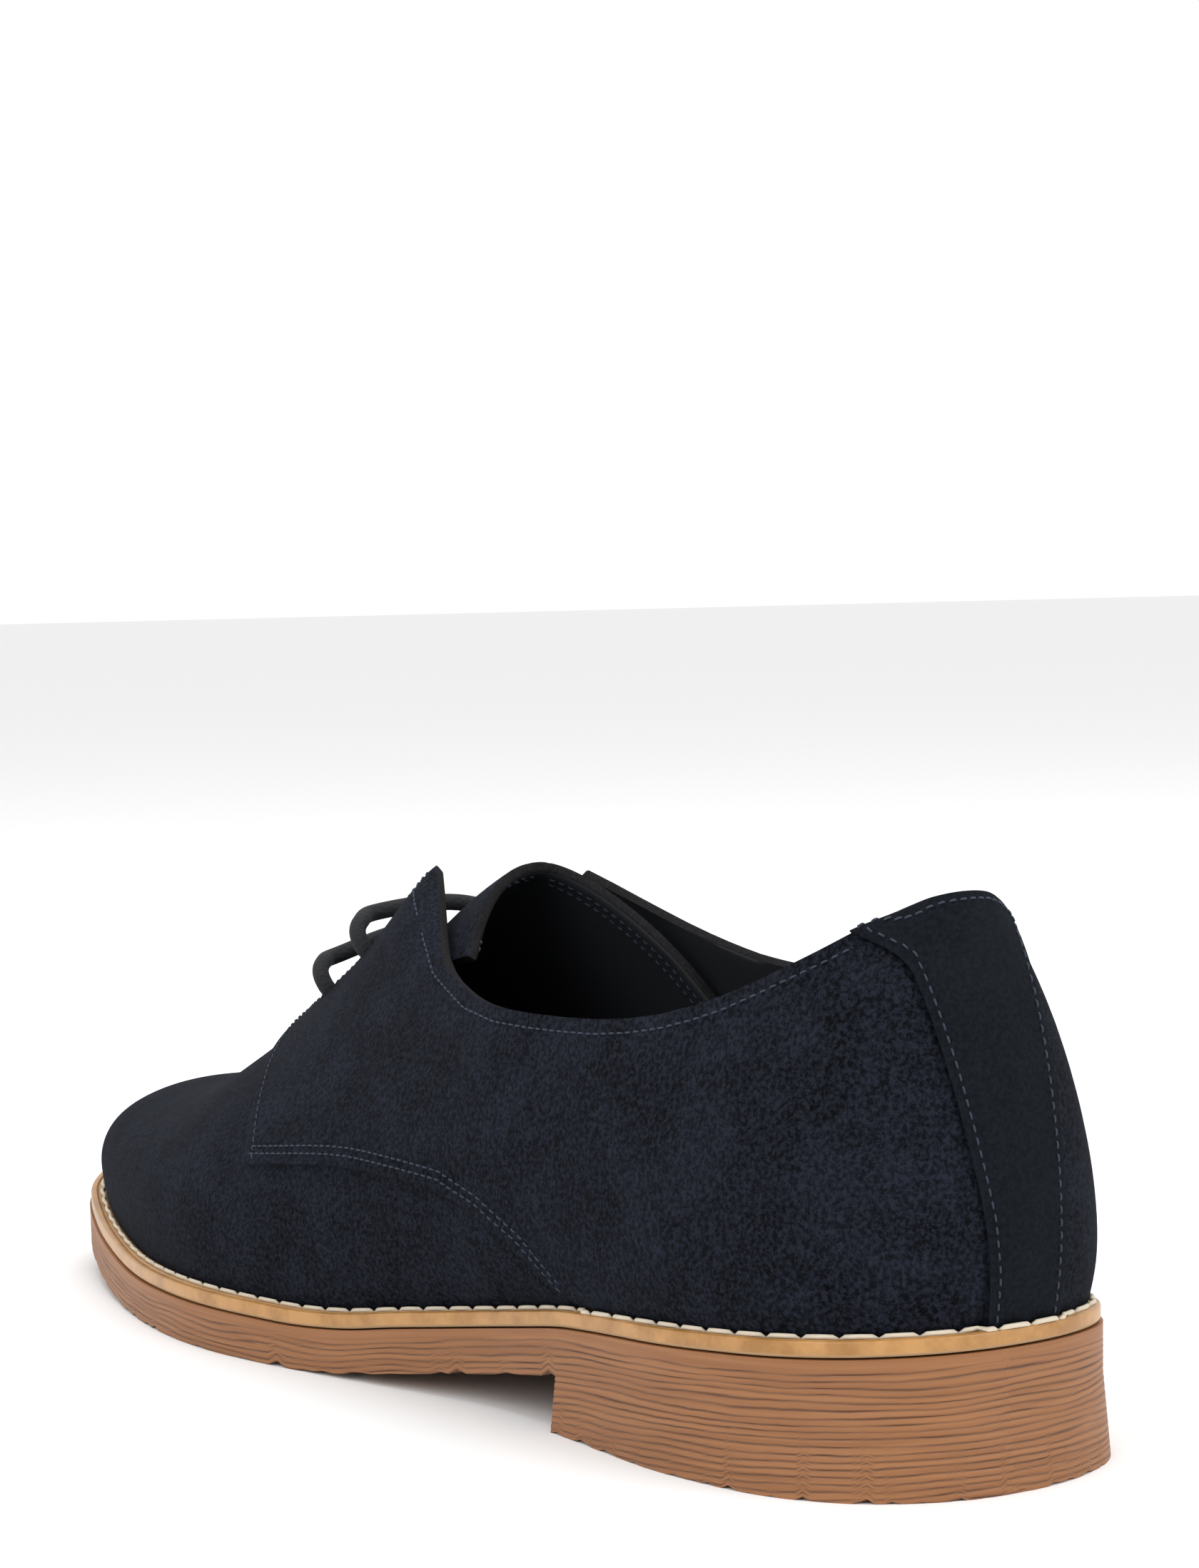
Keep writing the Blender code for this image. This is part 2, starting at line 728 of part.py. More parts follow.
def make_tongue():
    """Arched sheet under the facings, tucked under the vamp at its front."""
    skin = Skin()
    back, front = phase_of(TONGUE_BACK_FOOT), phase_of(TONGUE_FRONT_FOOT)
    columns = []
    for i in range(TONGUE_ROWS + 1):
        share = i / TONGUE_ROWS
        phase = blend(back, front, share)
        half = blend(TONGUE_TOP_WIDTH, TONGUE_FRONT_WIDTH, share) / 2
        row = []
        for side, order in ((-1, 1), (1, -1)):
            edge = ridge_side_turn(phase, side, half)
            steps = [blend(edge, math.pi / 2, k / TONGUE_ROWS) for k in range(TONGUE_ROWS + 1)]
            row += [(phase, side, turn) for turn in steps[::order]]
        columns.append(row)
    faces = {}
    for name, level in (("outer", TONGUE_LEVEL), ("inner", TONGUE_LEVEL - TONGUE_THICKNESS)):
        faces[name] = [[offset_point(*spot, level) for spot in row] for row in columns]
    skin.grid(faces["outer"])
    skin.grid(faces["inner"], True)
    border = [(i, 0) for i in range(TONGUE_ROWS + 1)]
    width = len(columns[0]) - 1
    border += [(TONGUE_ROWS, k) for k in range(1, width + 1)]
    border += [(i, width) for i in range(TONGUE_ROWS - 1, -1, -1)]
    border += [(0, k) for k in range(width - 1, -1, -1)]
    skin.grid([[faces["outer"][i][k], faces["inner"][i][k]] for i, k in border], True)
    return skin.closed_object("tongue", SUEDE_COLOUR, 0.9)


def eyelet_spot(ridge_station, side, from_edge):
    """Point and outward normal on the facing, from_edge behind the throat's edge."""
    low, high = TIP_PHASE[side], FRONT_PHASE
    for _ in range(30):
        phase = (low + high) / 2
        if RIDGE_STATION(phase) < ridge_station:
            low = phase
        else:
            high = phase
    edge = throat_turn(phase, side)
    start = last_point(phase, side, edge)
    low, high = 0.0, edge
    for _ in range(30):
        turn = (low + high) / 2
        if np.linalg.norm(last_point(phase, side, turn) - start) > from_edge:
            low = turn
        else:
            high = turn
    lift = flare(side, last_point(phase, side, turn))
    normal = last_normal(phase, side, turn)
    return offset_point(phase, side, turn, QUARTER_LEVEL + lift), normal


def punch_eyelets(upper):
    """Plain round holes, two in each facing."""
    for number, station in enumerate(EYELET_STATIONS):
        for side in (-1, 1):
            point, normal = eyelet_spot(station, side, EYELET_SETBACK)
            cutter_mesh = bpy.data.meshes.new("cutter")
            shape = bmesh.new()
            bmesh.ops.create_cone(
                shape,
                cap_ends=True,
                segments=EYELET_SIDES,
                radius1=EYELET_DIAMETER / 2,
                radius2=EYELET_DIAMETER / 2,
                depth=2 * WALL + 2 * QUARTER_STEP,
            )
            shape.to_mesh(cutter_mesh)
            shape.free()
            cutter = bpy.data.objects.new(f"eyelet_cutter_{number}_{side}", cutter_mesh)
            bpy.context.collection.objects.link(cutter)
            middle = point - normal * WALL / 2
            cutter.location = Vector(middle)
            cutter.rotation_mode = "QUATERNION"
            cutter.rotation_quaternion = Vector((0, 0, 1)).rotation_difference(Vector(normal))
            cutter.hide_render = True
            cutter.display_type = "WIRE"
            cut = upper.modifiers.new("eyelet", "BOOLEAN")
            cut.operation = "DIFFERENCE"
            cut.solver = "EXACT"
            cut.object = cutter


def lace_half(station, side):
    """Centre line of one side of a bar: out of the eyelet and over the facing's edge."""
    hole, hole_normal = eyelet_spot(station, side, EYELET_SETBACK)
    edge, edge_normal = eyelet_spot(station, side, 0.0)
    clear = LACE_DIAMETER / 2 + LACE_STANDOFF
    return [
        hole - hole_normal * WALL / 2,
        hole + hole_normal * LACE_DIAMETER * 0.25,
        hole + hole_normal * (clear + LACE_DIAMETER * 0.35) + (edge - hole) * 0.18,
        hole + hole_normal * (clear + LACE_DIAMETER * 0.70) + (edge - hole) * 0.55,
        edge + edge_normal * (clear + LACE_DIAMETER * 0.45) + (edge - hole) * 0.10,
    ]


def smooth_line(points, steps):
    """Points along a smooth curve through the given points."""
    ends = [2 * points[0] - points[1]] + points + [2 * points[-1] - points[-2]]
    line = []
    for a, b, c, d in zip(ends, ends[1:], ends[2:], ends[3:]):
        for i in range(steps):
            t = i / steps
            line.append(
                0.5
                * (
                    2 * b
                    + (c - a) * t
                    + (2 * a - 5 * b + 4 * c - d) * t**2
                    + (3 * b - a - 3 * c + d) * t**3
                )
            )
    line.append(points[-1])
    return line


def make_lace_bar(name, station):
    lateral, medial = lace_half(station, -1), lace_half(station, 1)
    middle = (lateral[-1] + medial[-1]) / 2
    crest = ridge_point(station_at(middle[1]))
    middle[2] = max(middle[2], crest[2] + (LACE_DIAMETER / 2 + LACE_STANDOFF) / INSTEP_COSINE)
    line = smooth_line(lateral + [middle] + medial[::-1], LACE_SIDES)
    curve = bpy.data.curves.new(name, "CURVE")
    curve.dimensions = "3D"
    curve.bevel_depth = LACE_DIAMETER / 2
    curve.bevel_resolution = LACE_SIDES
    curve.use_fill_caps = True
    spline = curve.splines.new("POLY")
    spline.points.add(len(line) - 1)
    for spot, place in zip(spline.points, line):
        spot.co = (*place, 1)
    return new_object(name, curve, LACE_COLOUR, 0.7)


def build():
    for old in list(bpy.data.objects):
        bpy.data.objects.remove(old, do_unlink=True)
    make_outsole()
    make_ring(
        "welt",
        SOLE_STATIONS,
        WELT_INSET,
        WELT_WIDTH,
        lambda station: sole_top(station) + FIT_GAP,
        WELT_THICKNESS,
        WELT_COLOUR,
        0.5,
    )
    make_insole()
    punch_eyelets(make_upper())
    make_tongue()
    for name, station in zip(("lace_bar_upper", "lace_bar_lower"), EYELET_STATIONS):
        make_lace_bar(name, station)


build()
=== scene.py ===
"""A left derby shoe in near-black blue suede, laced through two pairs of plain eyelets.

The wall of the upper, the sole, welt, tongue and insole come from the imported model.
This script gives each its finish, and adds seams, threads, laces and the sole's fine ribs.
"""

import math

import bmesh
import bpy
from mathutils import Matrix, Vector, noise
from mathutils.bvhtree import BVHTree


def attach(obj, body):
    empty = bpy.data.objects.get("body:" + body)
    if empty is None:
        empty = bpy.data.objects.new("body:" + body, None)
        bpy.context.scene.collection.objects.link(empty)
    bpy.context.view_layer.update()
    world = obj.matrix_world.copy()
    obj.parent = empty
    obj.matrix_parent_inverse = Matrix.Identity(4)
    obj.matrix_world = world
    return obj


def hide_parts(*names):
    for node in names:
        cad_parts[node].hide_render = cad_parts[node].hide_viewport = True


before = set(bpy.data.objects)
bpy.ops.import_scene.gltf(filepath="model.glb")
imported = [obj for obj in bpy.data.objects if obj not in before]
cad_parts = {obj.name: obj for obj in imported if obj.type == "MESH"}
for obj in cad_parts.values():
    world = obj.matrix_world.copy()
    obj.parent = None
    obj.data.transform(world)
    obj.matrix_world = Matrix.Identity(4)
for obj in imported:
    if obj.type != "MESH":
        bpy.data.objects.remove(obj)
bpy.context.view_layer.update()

MM = 0.001

# View, floor and light
# The camera stands low behind the outer side of the shoe, at the photograph's angle.
# A wide pale floor runs past the view, and large soft lights stand round the shoe.
VIEW_PLACE = Vector((-331.7, -603.1, 138.0)) * MM
VIEW_AZIMUTH = math.radians(-30.16)
VIEW_ELEVATION = math.radians(8.865)
VIEW_ROLL = math.radians(-1.259)
VIEW_LENS = 85.71
VIEW_SHIFT = 0.251
FLOOR_COLOUR = (0.86, 0.86, 0.86, 1)

back = Vector(
    (
        math.sin(VIEW_AZIMUTH) * math.cos(VIEW_ELEVATION),
        -math.cos(VIEW_AZIMUTH) * math.cos(VIEW_ELEVATION),
        math.sin(VIEW_ELEVATION),
    )
)
level = (-back).cross(Vector((0, 0, 1))).normalized()
upright = level.cross(-back)
right = level * math.cos(VIEW_ROLL) + upright * math.sin(VIEW_ROLL)
above = upright * math.cos(VIEW_ROLL) - level * math.sin(VIEW_ROLL)
camera_data = bpy.data.cameras.new("camera")
camera_data.lens = VIEW_LENS
camera_data.sensor_width = 36
camera_data.shift_y = VIEW_SHIFT
camera_data.clip_start = 0.01
camera = bpy.data.objects.new("camera", camera_data)
turned = Matrix((right, above, back)).transposed().to_4x4()
camera.matrix_world = Matrix.Translation(VIEW_PLACE) @ turned
bpy.context.collection.objects.link(camera)
bpy.context.scene.camera = camera


def deselect():
    """Leaves nothing selected, so that the next operator acts on new things alone."""
    if bpy.context.mode != "OBJECT":
        bpy.ops.object.mode_set(mode="OBJECT")
    bpy.ops.object.select_all(action="DESELECT")


def new_material(name, colour, roughness):
    """A node material with its Principled shader. Returns the material, nodes, links, shader."""
    material = bpy.data.materials.new(name)
    material.use_nodes = True
    nodes = material.node_tree.nodes
    shader = nodes["Principled BSDF"]
    shader.inputs["Base Color"].default_value = colour
    shader.inputs["Roughness"].default_value = roughness
    return material, nodes, material.node_tree.links, shader


deselect()
bpy.ops.mesh.primitive_plane_add(size=60, location=(0, 0, 0))
floor = bpy.context.active_object
floor.name = "floor"
floor_material, _, _, _ = new_material("floor", FLOOR_COLOUR, 0.9)
floor.data.materials.append(floor_material)

world = bpy.data.worlds.new("studio")
world.use_nodes = True
world.node_tree.nodes["Background"].inputs["Color"].default_value = (1, 1, 1, 1)
world.node_tree.nodes["Background"].inputs["Strength"].default_value = 1.0
bpy.context.scene.world = world
bpy.context.scene.view_settings.view_transform = "Standard"

# name, place, size, power
LIGHTS = (
    ("light_outer_side", (-1.3, -0.5, 1.0), 1.2, 7),
    ("light_above", (0.1, 0.0, 1.6), 1.4, 12),
    ("light_behind", (0.7, -1.4, 0.9), 1.0, 8),
)
for name, place, size, power in LIGHTS:
    deselect()
    bpy.ops.object.light_add(type="AREA", location=place)
    light = bpy.context.active_object
    light.name = name
    light.data.size = size
    light.data.energy = power
    aim = Vector((0, 0, 0.05)) - Vector(place)
    light.rotation_euler = aim.to_track_quat("-Z", "Y").to_euler()


# Suede upper
# One wall of near-black blue suede over a smooth lining. The quarters lap over the vamp
# and the back strip lies on the quarters, each with a raw cut edge of paler leather.
SUEDE_DEEP = (0.0010, 0.0011, 0.0016, 1)
SUEDE_NAP = (0.0175, 0.0208, 0.0318, 1)
STRIP_DEEP = (0.0040, 0.0050, 0.0070, 1)
STRIP_NAP = (0.0100, 0.0125, 0.0165, 1)
LINING_COLOUR = (0.0125, 0.0140, 0.0175, 1)
CUT_EDGE_COLOUR = (0.019, 0.018, 0.019, 1)


def nap_group():
    """Short nap: soft clouds where it lies differently, and a fine fibre grain."""
    group = bpy.data.node_groups.new("suede_nap", "ShaderNodeTree")
    for name, kind in (
        ("Deep", "NodeSocketColor"),
        ("Nap", "NodeSocketColor"),
        ("Grain", "NodeSocketFloat"),
        ("Depth", "NodeSocketFloat"),
    ):
        group.interface.new_socket(name=name, in_out="INPUT", socket_type=kind)
    group.interface.new_socket(name="Color", in_out="OUTPUT", socket_type="NodeSocketColor")
    group.interface.new_socket(name="Roughness", in_out="OUTPUT", socket_type="NodeSocketFloat")
    group.interface.new_socket(name="Normal", in_out="OUTPUT", socket_type="NodeSocketVector")
    nodes, links = group.nodes, group.links
    start = nodes.new("NodeGroupInput")
    end = nodes.new("NodeGroupOutput")
    place = nodes.new("ShaderNodeTexCoord")
    fibre = nodes.new("ShaderNodeTexNoise")
    fibre.inputs["Detail"].default_value = 6
    fibre.inputs["Roughness"].default_value = 0.72
    links.new(place.outputs["Object"], fibre.inputs["Vector"])
    links.new(start.outputs["Grain"], fibre.inputs["Scale"])
    cloud = nodes.new("ShaderNodeTexNoise")
    cloud.inputs["Scale"].default_value = 75
    cloud.inputs["Detail"].default_value = 4
    cloud.inputs["Distortion"].default_value = 0.6
    links.new(place.outputs["Object"], cloud.inputs["Vector"])
    spread = nodes.new("ShaderNodeMapRange")
    spread.inputs["From Min"].default_value = 0.42
    spread.inputs["From Max"].default_value = 0.60
    links.new(fibre.outputs["Fac"], spread.inputs["Value"])
    drift = nodes.new("ShaderNodeMapRange")
    drift.inputs["From Min"].default_value = 0.35
    drift.inputs["From Max"].default_value = 0.65
    links.new(cloud.outputs["Fac"], drift.inputs["Value"])
    share = nodes.new("ShaderNodeMix")
    share.inputs["Factor"].default_value = 0.25
    links.new(spread.outputs["Result"], share.inputs["A"])
    links.new(drift.outputs["Result"], share.inputs["B"])
    colour = nodes.new("ShaderNodeMix")
    colour.data_type = "RGBA"
    links.new(share.outputs["Result"], colour.inputs["Factor"])
    links.new(start.outputs["Deep"], colour.inputs["A"])
    links.new(start.outputs["Nap"], colour.inputs["B"])
    links.new(colour.outputs["Result"], end.inputs["Color"])
    dull = nodes.new("ShaderNodeMapRange")
    dull.inputs["To Min"].default_value = 0.82
    dull.inputs["To Max"].default_value = 0.98
    links.new(share.outputs["Result"], dull.inputs["Value"])
    links.new(dull.outputs["Result"], end.inputs["Roughness"])
    bump = nodes.new("ShaderNodeBump")
    bump.inputs["Strength"].default_value = 0.7
    links.new(start.outputs["Depth"], bump.inputs["Distance"])
    links.new(fibre.outputs["Fac"], bump.inputs["Height"])
    links.new(bump.outputs["Normal"], end.inputs["Normal"])
    return group


suede_nap = nap_group()


def suede_material(name, deep, nap, grain, depth, sheen):
    """Suede of one colour: grain sets how fine the fibre is, and depth how rough it stands."""
    material, nodes, links, shader = new_material(name, nap, 0.9)
    effect = nodes.new("ShaderNodeGroup")
    effect.node_tree = suede_nap
    effect.inputs["Deep"].default_value = deep
    effect.inputs["Nap"].default_value = nap
    effect.inputs["Grain"].default_value = grain
    effect.inputs["Depth"].default_value = depth
    links.new(effect.outputs["Color"], shader.inputs["Base Color"])
    links.new(effect.outputs["Roughness"], shader.inputs["Roughness"])
    links.new(effect.outputs["Normal"], shader.inputs["Normal"])
    shader.inputs["Specular IOR Level"].default_value = 0.05
    shader.inputs["Sheen Weight"].default_value = sheen
    shader.inputs["Sheen Roughness"].default_value = 0.45
    shader.inputs["Sheen Tint"].default_value = (0.55, 0.66, 0.9, 1)
    return material


suede = suede_material("suede", SUEDE_DEEP, SUEDE_NAP, 1250, 0.35 * MM, 0.003)
strip_suede = suede_material("strip_suede", STRIP_DEEP, STRIP_NAP, 1400, 0.15 * MM, 0.003)
cut_edge = suede_material("cut_edge", (0.007, 0.007, 0.008, 1), CUT_EDGE_COLOUR, 1800, 0.2 * MM, 0.0)
lining, nodes, links, shader = new_material("lining", LINING_COLOUR, 0.55)
place = nodes.new("ShaderNodeTexCoord")
pores = nodes.new("ShaderNodeTexNoise")
pores.inputs["Scale"].default_value = 900
pores.inputs["Detail"].default_value = 3
links.new(place.outputs["Object"], pores.inputs["Vector"])
bump = nodes.new("ShaderNodeBump")
bump.inputs["Strength"].default_value = 0.35
bump.inputs["Distance"].default_value = 0.1 * MM
links.new(pores.outputs["Fac"], bump.inputs["Height"])
links.new(bump.outputs["Normal"], shader.inputs["Normal"])


def cad_copy(node, name):
    """A copy of a node's mesh with its loose triangles joined, as a piece of its own."""
    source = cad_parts[node]
    piece = source.copy()
    piece.data = source.data.copy()
    piece.name = name
    piece.data.name = name
    piece.parent = None
    piece.matrix_world = Matrix.Identity(4)
    piece.data.materials.clear()
    bpy.context.collection.objects.link(piece)
    deselect()
    piece.select_set(True)
    bpy.context.view_layer.objects.active = piece
    bpy.ops.object.mode_set(mode="EDIT")
    bpy.ops.mesh.select_all(action="SELECT")
    bpy.ops.mesh.remove_doubles(threshold=0.00001)
    bpy.ops.object.mode_set(mode="OBJECT")
    return piece


CREASE_ANGLE = math.radians(48)
CREASE_HOLD = 0.9
SOFT_ANGLE = math.radians(40)
ROUNDS = 2


def regions_of(piece, angle):
    """Groups the faces that meet without a crease. Returns the mesh, groups and group numbers."""
    shape = bmesh.new()
    shape.from_mesh(piece.data)
    shape.faces.ensure_lookup_table()
    number, groups = {}, []
    for first in shape.faces:
        if first.index in number:
            continue
        number[first.index] = len(groups)
        group, waiting = [first], [first]
        while waiting:
            for edge in waiting.pop().edges:
                if len(edge.link_faces) != 2 or edge.calc_face_angle(0) > angle:
                    continue
                for face in edge.link_faces:
                    if face.index not in number:
                        number[face.index] = len(groups)
                        group.append(face)
                        waiting.append(face)
        groups.append(group)
    return shape, groups, number


def border_paths(groups, number, inside, wanted):
    """Border of one group where wanted(face beyond it) holds, as paths of (point, inward)."""
    following = {}
    for face in groups[inside]:
        for corner in face.loops:
            beyond = [f for f in corner.edge.link_faces if f is not face]
            if not beyond or number[beyond[0].index] == inside or not wanted(beyond[0]):
                continue
            tangent = (corner.link_loop_next.vert.co - corner.vert.co).normalized()
            inward = face.normal.cross(tangent)
            end = corner.link_loop_next.vert
            following[corner.vert.index] = (end.index, corner.vert.co.copy(), end.co.copy(), inward)
    ends = {entry[0] for entry in following.values()}
    starts = [index for index in following if index not in ends]
    paths = []
    while following:
        index = starts.pop() if starts else next(iter(following))
        path = []
        while index in following:
            index, here, there, inward = following.pop(index)
            path.append((here, inward))
        path.append((there, inward))
        paths.append(path)
    return sorted(paths, key=path_length, reverse=True)


def path_length(path):
    """Length of a path of (point, inward)."""
    return sum((b[0] - a[0]).length for a, b in zip(path, path[1:]))


def along(path, spacing, start=0.0):
    """Evenly spaced (point, tangent, inward) on a path, with the directions evened out."""
    spots, gone, wanted = [], 0.0, start
    for (a, inward_a), (b, inward_b) in zip(path, path[1:]):
        step = (b - a).length
        while step > 0 and wanted <= gone + step:
            share = (wanted - gone) / step
            spots.append([a.lerp(b, share), (b - a) / step, inward_a.lerp(inward_b, share)])
            wanted += spacing
        gone += step
    for _ in range(3):
        smooth = []
        for i, spot in enumerate(spots):
            near = spots[max(i - 1, 0) : i + 2]
            inward = sum((n[2] for n in near), Vector()).normalized()
            tangent = sum((n[1] for n in near), Vector()).normalized()
            smooth.append([spot[0], tangent, inward])
        spots = smooth
    return spots


# The wall's faces are told apart by where they lie: inside, vamp, quarters, strip and cut edges.
STRIP_REACH = 17.5 * MM
SEAM_END = -73.5 * MM
SHORT_BORDER = 30 * MM
SMALLEST_PANEL = 8e-4
PANELS = 6
upper = cad_copy("upper", "upper_suede")
shape, groups, number = regions_of(upper, CREASE_ANGLE)
areas = [sum(face.calc_area() for face in group) for group in groups]
main = sorted(range(len(groups)), key=lambda i: areas[i], reverse=True)[:PANELS]


def facing_out(group):
    """Positive where the faces point away from the middle line of the shoe."""
    total = 0.0
    for face in group:
        centre = face.calc_center_median()
        total += face.normal.dot(centre - Vector((0, centre.y * 0.8, 30 * MM))) * face.calc_area()
    return total


inside_group = [i for i in main if facing_out(groups[i]) < 0][0]
outer_groups = [i for i in main if facing_out(groups[i]) > 0 and areas[i] > SMALLEST_PANEL]
strip_groups = [
    i
    for i in outer_groups
    if max(abs(v.co.x) for face in groups[i] for v in face.verts) < STRIP_REACH
]
vamp_group = max(outer_groups, key=lambda i: max(v.co.y for face in groups[i] for v in face.verts))
quarter_groups = [i for i in outer_groups if i not in strip_groups and i != vamp_group]

touching_inside = set()
for edge in shape.edges:
    if len(edge.link_faces) == 2:
        pair = [number[face.index] for face in edge.link_faces]
        if inside_group in pair:
            touching_inside.update(pair)
touching_inside.discard(inside_group)
touching_inside -= set(outer_groups)

# The back strip leans, as in the photograph: its outer edge slides round the heel, more
# at the sole than at the collar. The 0.8 mm step keeps its height.
STRIP_EDGES = (-10.4 * MM, 15.6 * MM)
STRIP_STEP = 0.8 * MM
STRIP_EDGE_SLACK = 0.3 * MM
# height and shift in millimetres
STRIP_SLIDE = ((22, 12.5), (37, 12.5), (55, 9.0), (75, 6.0), (92, 4.0))
SLIDE_REACH = 22 * MM
HEEL_BACK = -100 * MM
HEEL_LOW = 29 * MM
HEEL_HIGH = 84 * MM
BEHIND = -200 * MM
heel_surface = BVHTree.FromBMesh(shape)


def heel_back(x, z):
    """Depth of the quarters' surface behind the heel, without the strip."""
    z = min(max(z, HEEL_LOW), HEEL_HIGH)
    spot, _, _, _ = heel_surface.ray_cast(Vector((x, BEHIND, z)), Vector((0, 1, 0)))
    return spot.y + (STRIP_STEP if STRIP_EDGES[0] < x < STRIP_EDGES[1] else 0)


def strip_slide(z):
    """Shift of the strip's outer edge at a height."""
    for (low, first), (high, second) in zip(STRIP_SLIDE, STRIP_SLIDE[1:]):
        if z <= high * MM:
            share = (z / MM - low) / (high - low)
            return (first + (second - first) * max(share, 0)) * MM
    return STRIP_SLIDE[-1][1] * MM


moved = {}
for vert in shape.verts:
    x, y, z = vert.co
    around = {number[face.index] for face in vert.link_faces}
    if y > HEEL_BACK or inside_group in around:
        continue
    if around & touching_inside and x < STRIP_EDGES[0] - 0.5 * MM:
        continue
    if x < STRIP_EDGES[0] + STRIP_EDGE_SLACK:
        pull = 1 - (STRIP_EDGES[0] - x) / SLIDE_REACH
    else:
        pull = (STRIP_EDGES[1] - x) / (STRIP_EDGES[1] - STRIP_EDGES[0])
    pull = min(max(pull, 0), 1)
    if pull > 0:
        there = x + strip_slide(z) * pull
        at_edge = abs(x - STRIP_EDGES[0]) < STRIP_EDGE_SLACK
        here = x + (STRIP_EDGE_SLACK if at_edge else 0)
        moved[vert] = Vector((there, y + heel_back(there, z) - heel_back(here, z), z))
for vert, place in moved.items():
    vert.co = place
shape.normal_update()

strip_sides = set()
for group in strip_groups:
    for face in groups[group]:
        for edge in face.edges:
            strip_sides.update(number[f.index] for f in edge.link_faces)
strip_sides -= touching_inside | set(outer_groups)


def on_vamp(face):
    """True for a face of the vamp."""
    return number[face.index] == vamp_group


def on_edge(face):
    """True for a face beyond an open edge of a quarter: not the vamp, nor the strip's side."""
    return number[face.index] != vamp_group and number[face.index] not in strip_sides


for material in (suede, strip_suede, lining, cut_edge):
    upper.data.materials.append(material)
for face in shape.faces:
    group = number[face.index]
    if group == inside_group:
        face.material_index = 2
    elif group in strip_groups:
        face.material_index = 1
    elif group in outer_groups or group not in touching_inside:
        face.material_index = 0
    else:
        face.material_index = 3
crease = shape.edges.layers.float.new("crease_edge")
for edge in shape.edges:
    if len(edge.link_faces) == 2 and edge.calc_face_angle(0) > CREASE_ANGLE:
        edge[crease] = CREASE_HOLD

seam_paths, edge_paths, strip_paths = [], [], []
for group in quarter_groups:
    lap = max(border_paths(groups, number, group, on_vamp), key=path_length)
    seam_paths.append([spot for spot in lap if spot[0].y > SEAM_END])
    for path in border_paths(groups, number, group, on_edge):
        if path_length(path) > SHORT_BORDER and max(point.y for point, _ in path) > HEEL_BACK:
            edge_paths.append(path)
for group in strip_groups:
    borders = border_paths(groups, number, group, lambda face: not on_vamp(face))
    strip_paths += [path for path in borders if path_length(path) > SHORT_BORDER]

shape.to_mesh(upper.data)
shape.free()


def paired(piece, face_angle=math.radians(35), shape_angle=math.radians(70), by_material=True):
    """Joins the triangles of a piece in pairs, where they lie nearly flat."""
    deselect()
    piece.select_set(True)
    bpy.context.view_layer.objects.active = piece
    bpy.ops.object.mode_set(mode="EDIT")
    bpy.ops.mesh.select_all(action="SELECT")
    bpy.ops.mesh.tris_convert_to_quads(
        face_threshold=face_angle, shape_threshold=shape_angle, materials=by_material
    )
    bpy.ops.object.mode_set(mode="OBJECT")


def smoothed(piece, angle):
    """Rounds a piece twice over between its creases and keeps the result in its mesh."""
    deselect()
    piece.select_set(True)
    bpy.context.view_layer.objects.active = piece
    modifier = piece.modifiers.new("smooth", "SUBSURF")
    modifier.levels = ROUNDS
    modifier.render_levels = ROUNDS
    bpy.ops.object.modifier_apply(modifier="smooth")
    bpy.ops.object.shade_smooth_by_angle(angle=angle)


paired(upper)
smoothed(upper, SOFT_ANGLE)
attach(upper, "root")
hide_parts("upper")


# Seams
# Pairs of short blue-grey stitches hold the quarters on the vamp, and single rows run by
# the facings, collar and back strip. Each stitch dips into the suede at both ends.
STITCH_COLOUR = (0.014, 0.021, 0.040, 1)
STITCH_PITCH = 2.0 * MM
STITCH_LENGTH = 1.35 * MM
STITCH_RADIUS = 0.19 * MM
SEAM_ROWS = (2.0 * MM, 3.5 * MM)
EDGE_ROW = 2.6 * MM
STRIP_ROW = 1.5 * MM
PINCH = 0.55
# place along a stitch as a share of its length, and lift as a share of the thread's radius
STITCH_ARC = ((-0.5, -0.6), (-0.3, 0.45), (0, 0.75), (0.3, 0.45), (0.5, -0.6))


def add_thread(shape, points, radius, sides=5):
    """A round thread through the points, pinched shut at both ends."""
    rings = []
    for i, point in enumerate(points):
        tangent = (points[min(i + 1, len(points) - 1)] - points[max(i - 1, 0)]).normalized()
        across = tangent.orthogonal().normalized()
        over = tangent.cross(across)
        width = radius * (PINCH if i in (0, len(points) - 1) else 1.0)
        ring = []
        for k in range(sides):
            turn = 2 * math.pi * k / sides
            side = across * math.cos(turn) + over * math.sin(turn)
            ring.append(shape.verts.new(point + side * width))
        rings.append(ring)
    for one, two in zip(rings, rings[1:]):
        offset = min(range(sides), key=lambda k: (two[k].co - one[0].co).length)
        two[:] = two[offset:] + two[:offset]
        for k in range(sides):
            shape.faces.new((one[k], one[(k + 1) % sides], two[(k + 1) % sides], two[k]))
    shape.faces.new(rings[0][::-1])
    shape.faces.new(rings[-1])


def surface_of(piece):
    """A piece's surface, for finding the nearest point on it."""
    return BVHTree.FromObject(piece, bpy.context.evaluated_depsgraph_get())


def stitch_row(shape, surface, path, inset):
    """Stitches at an inset from a border, laid on the surface."""
    for point, tangent, inward in along(path, STITCH_PITCH, STITCH_PITCH * 0.7):
        line = []
        for share, lift in STITCH_ARC:
            above_spot = point + inward * inset + tangent * STITCH_LENGTH * share
            spot, normal, _, _ = surface.find_nearest(above_spot)
            line.append(spot + normal * STITCH_RADIUS * lift)
        if all((b - a).length > 1e-5 for a, b in zip(line, line[1:])):
            add_thread(shape, line, STITCH_RADIUS)


